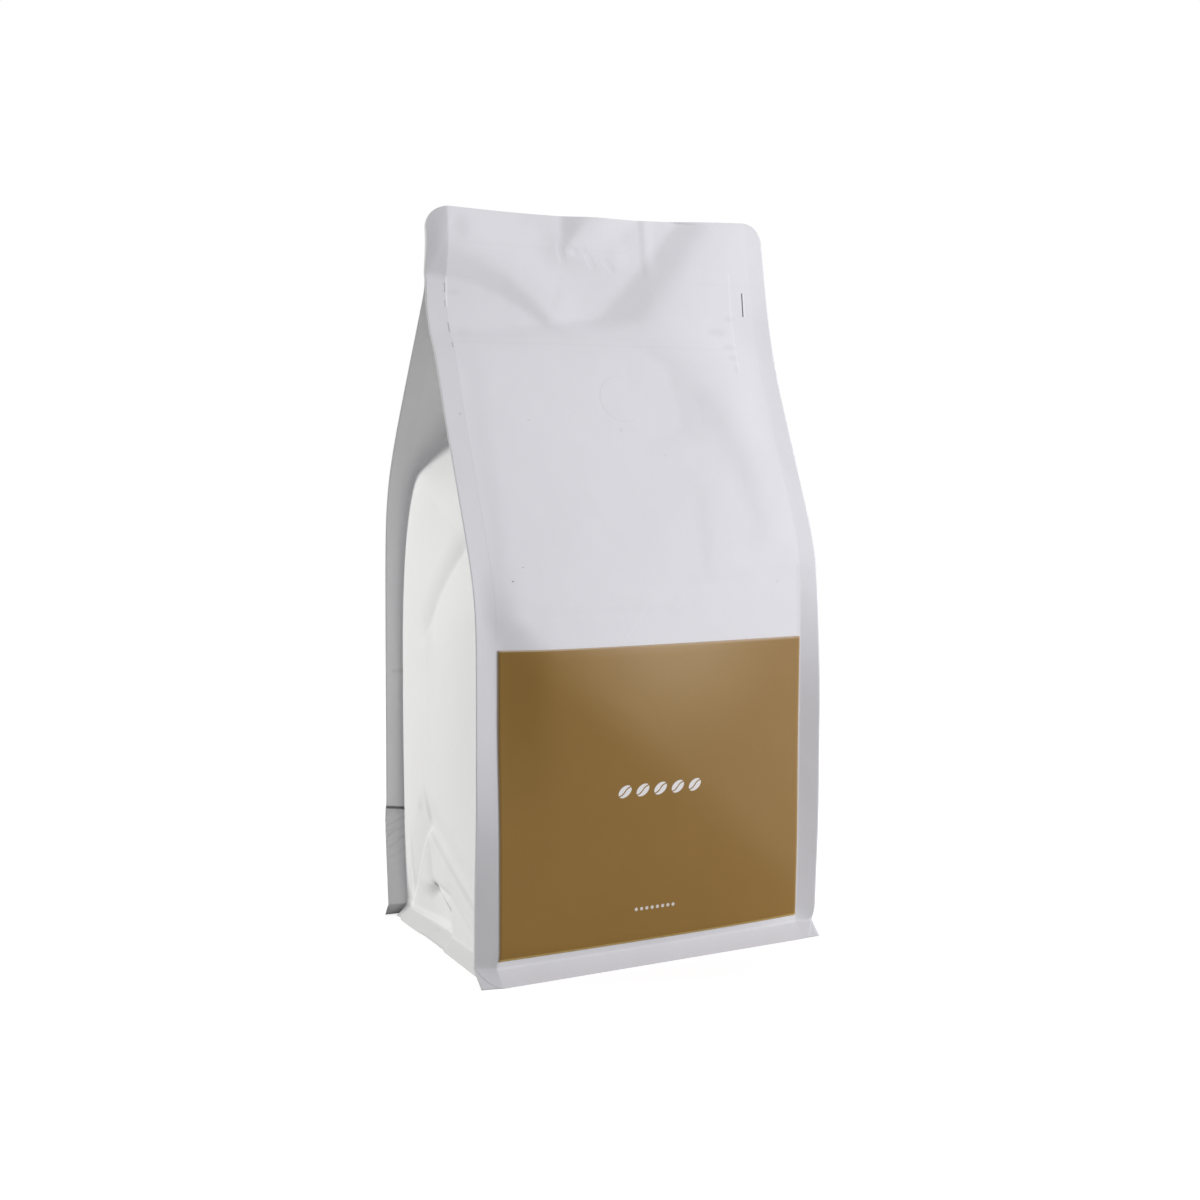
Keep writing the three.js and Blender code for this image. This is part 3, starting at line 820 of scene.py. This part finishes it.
def repeated(net, row):
    """Place along a printed row, from the middle of the nearest of its marks; and 1 within the row."""
    low, high = row["x"]
    pitch = (high - low) / row["count"]
    along = net.sum("SUBTRACT", net.sum("WRAP", net.sum("SUBTRACT", net.x, low), pitch, 0), pitch / 2)
    inside = net.times(net.sum("GREATER_THAN", net.x, low), net.sum("LESS_THAN", net.x, high))
    return along, inside


def bean_print(net):
    """Slanted ovals, each with a bowed line along its middle left bare."""
    along, inside = repeated(net, BEANS)
    up = net.sum("SUBTRACT", net.z, BEANS["z"])
    turn_cos, turn_sin = math.cos(BEANS["turned"]), math.sin(BEANS["turned"])
    length = net.add([net.times(along, turn_cos), net.times(up, turn_sin)])
    across = net.add([net.times(along, -turn_sin), net.times(up, turn_cos)])
    half_length, half_width = BEANS["half"]
    out = net.far(net.times(length, 1 / half_length), net.times(across, 1 / half_width))
    oval = net.fade(out, *BEAN_BORDER)
    bow = net.times(net.sum("SINE", net.times(length, BEAN_SPLIT["close"])), BEAN_SPLIT["bow"])
    split = net.fade(net.sum("ABSOLUTE", net.sum("SUBTRACT", across, bow)), *BEAN_SPLIT["half"])
    return net.times(oval, split, inside)


def dot_print(net):
    along, inside = repeated(net, DOTS)
    from_dot = net.far(along, net.sum("SUBTRACT", net.z, DOTS["z"]))
    spot = net.fade(from_dot, DOTS["half"] + DOT_BORDER, DOTS["half"] - DOT_BORDER)
    return net.times(spot, inside, DOTS["strength"])


def paper_layers(net):
    """What lies over the paper's own colour, with painted sheen and highlights: its cover and colour.
    """
    # painted highlights on the pale cut edges, and a painted highlight along the lower edge
    top = net.fade(net.z, *(LABEL_HIGH - inner for inner in TOP_EDGE))
    low = net.fade(net.z, *(LABEL_LOW + inner for inner in LOW_EDGE))
    side = net.fade(net.sum("ABSOLUTE", net.x), *(LABEL_HALF - inner for inner in SIDE_EDGE))
    sides = net.times(side, SIDE_COVER)
    print_cover = net.sum("MAXIMUM", bean_print(net), dot_print(net))
    # painted sheen and painted highlight, standing in for light reflected off the satin paper
    right_of_line = net.line_side(PAINTED_SHEEN_FROM, PAINTED_SHEEN_TO, PAINTED_SHEEN_SOFT)
    painted_highlight_cover = net.dot(net.x, net.z, PAINTED_HIGHLIGHT["centre"], PAINTED_HIGHLIGHT["half"], PAINTED_HIGHLIGHT["strength"], 0)
    painted_sheen_cover = net.times(right_of_line, net.sum("ADD", painted_highlight_cover, PAINTED_SHEEN))
    return (
        (painted_sheen_cover, PAINTED_SHEEN_COLOUR),
        (top, PALE_CUT_EDGE_AND_HIGHLIGHT),
        (sides, PALE_CUT_EDGE_AND_HIGHLIGHT),
        (low, GOLD_EDGE_HIGHLIGHT),
        (print_cover, PRINT_COLOUR),
    )


def paper_material():
    """Brown satin paper, small white print, pale cut edges, painted edge highlights and painted sheen.
    """
    net = Net("label_paper")
    fibres = net.times(net.noise(PAPER_FIBRES[0], FINE_DETAIL), PAPER_FIBRES[1])
    clouds = net.times(net.noise(PAPER_CLOUDS[0]), PAPER_CLOUDS[1])
    colour = net.colour(net.sum("ADD", net.add([fibres, clouds]), 1), PAPER_COLOUR)
    for cover, over in paper_layers(net):
        colour = net.covered(colour, cover, over)
    net.finish(colour, PAPER_ROUGHNESS, PAPER_SPECULAR)
    grain = net.times(net.noise(PAPER_GRAIN[0], FINE_DETAIL), PAPER_GRAIN[1])
    waves = net.times(net.noise(PAPER_WAVES[0]), PAPER_WAVES[1])
    net.bump(net.add([grain, waves]))
    return net.material


front_film = film_material("front_film", front_marks)
side_film = film_material("left_film", side_marks)
plain_film = film_material("plain_film")
paper = paper_material()

front = film_sheet("front_panel", 160, 250, panel_place(front_depth, 1, CORNER), FILM)
back = film_sheet("back_panel", 110, 200, panel_place(back_depth, -1, BACK_FOOT_CORNER), FILM)
left = film_sheet("left_side_film", 150, 260, side_place(-HALF), FILM)
right = film_sheet("right_side_film", 110, 220, side_place(HALF), FILM)
bottom = film_sheet("bottom_film", 60, 44, bottom_place, FILM)
films = (
    (front, front_film),
    (back, plain_film),
    (left, side_film),
    (right, plain_film),
    (bottom, plain_film),
)
for piece, film in films:
    piece.data.materials.append(film)
    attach(piece, "root")
    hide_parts("bag")

label = film_sheet("front_label", 110, 96, label_place, LABEL_THICK)
label.data.materials.append(paper)
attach(label, "root")
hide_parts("label")

# Floor, light and camera. Their places and sizes are in metres.
FLOOR_REACH = 0.9
FLOOR_SOLID = 0.3  # the floor fades out from this distance
FLOOR_END = 0.95  # to this share of its reach
FLOOR_COLOUR = (0.42, 0.42, 0.42, 1)
FLOOR_ROUGHNESS = 0.9
FLOOR_GLOW = 0.74
WHITE = (1, 1, 1, 1)
AIM = Vector((0, 0, 0.13))  # what the lights point at
SKY_COLOUR, SKY_STRENGTH = (0.96, 0.95, 1.0, 1), 0.415

CAMERA_PLACE = Vector((-0.2504, -0.4789, 0.1653))
CAMERA_YAW = math.radians(27.62)
CAMERA_DOWN = math.radians(4.42)
CAMERA_ROLL = 0.0064
LENS, SENSOR = 43.64, 36


def floor_material():
    """A pale matte floor that fades out into the white surroundings."""
    net = Net("pale_floor")
    net.feed(net.body.inputs["Base Color"], FLOOR_COLOUR)
    net.feed(net.body.inputs["Roughness"], FLOOR_ROUGHNESS)
    net.feed(net.body.inputs["Emission Color"], WHITE)
    seen = net.node("ShaderNodeLightPath").outputs["Is Camera Ray"]
    net.feed(net.body.inputs["Emission Strength"], net.times(seen, FLOOR_GLOW))
    distance = net.far(net.x, net.sum("SUBTRACT", net.depth, MIDDLE))
    solid = net.fade(distance, FLOOR_REACH / MM * FLOOR_END, FLOOR_SOLID / MM)
    net.feed(net.body.inputs["Alpha"], solid)
    return net.material


def pale_floor():
    bm = bmesh.new()
    bmesh.ops.create_circle(bm, cap_ends=True, segments=96, radius=FLOOR_REACH)
    mesh = bpy.data.meshes.new("floor")
    bm.to_mesh(mesh)
    bm.free()
    mesh.materials.append(floor_material())
    disc = bpy.data.objects.new("floor", mesh)
    bpy.context.scene.collection.objects.link(disc)
    return disc


def soft_light(name, place, size, power, colour):
    """A square area light, aimed at the middle of the bag."""
    light = bpy.data.lights.new(name, "AREA")
    light.shape = "SQUARE"
    light.size = size
    light.energy = power
    light.color = colour
    lamp = bpy.data.objects.new(name, light)
    lamp.location = place
    lamp.rotation_euler = (AIM - Vector(place)).to_track_quat("-Z", "Y").to_euler()
    bpy.context.scene.collection.objects.link(lamp)


def studio_world():
    """Even light from all round. Straight to the camera it looks white."""
    world = bpy.data.worlds.new("studio")
    world.use_nodes = True
    nodes, links = world.node_tree.nodes, world.node_tree.links
    sky = nodes["Background"]
    sky.inputs["Color"].default_value = SKY_COLOUR
    sky.inputs["Strength"].default_value = SKY_STRENGTH
    backdrop = nodes.new("ShaderNodeBackground")
    backdrop.inputs["Color"].default_value = WHITE
    ray = nodes.new("ShaderNodeLightPath")
    either = nodes.new("ShaderNodeMixShader")
    links.new(ray.outputs["Is Camera Ray"], either.inputs["Fac"])
    links.new(sky.outputs["Background"], either.inputs[1])
    links.new(backdrop.outputs["Background"], either.inputs[2])
    links.new(either.outputs["Shader"], nodes["World Output"].inputs["Surface"])
    return world


def photo_camera():
    """The camera of the photo."""
    level = math.cos(CAMERA_DOWN)
    ahead = Vector((
        level * math.sin(CAMERA_YAW),
        level * math.cos(CAMERA_YAW),
        -math.sin(CAMERA_DOWN),
    ))
    camera = bpy.data.objects.new("camera", bpy.data.cameras.new("camera"))
    camera.data.lens = LENS
    camera.data.sensor_width = SENSOR
    camera.location = CAMERA_PLACE
    camera.rotation_mode = "QUATERNION"
    camera.rotation_quaternion = ahead.to_track_quat("-Z", "Y") @ Quaternion((0, 0, 1), CAMERA_ROLL)
    bpy.context.scene.collection.objects.link(camera)
    return camera


floor = pale_floor()
soft_light("front_right", (0.91, -0.85, 0.51), 0.7, 12.5, (0.95, 0.94, 1.0))
soft_light("left", (-1.84, 0.98, 0.42), 0.9, 30.0, (1.0, 1.0, 0.96))
soft_light("rear_right", (1.1, 1.4, 0.8), 1.0, 12.0, (1.0, 1.0, 1.0))
bpy.context.scene.world = studio_world()
bpy.context.scene.camera = photo_camera()
bpy.context.scene.view_settings.view_transform = "Standard"
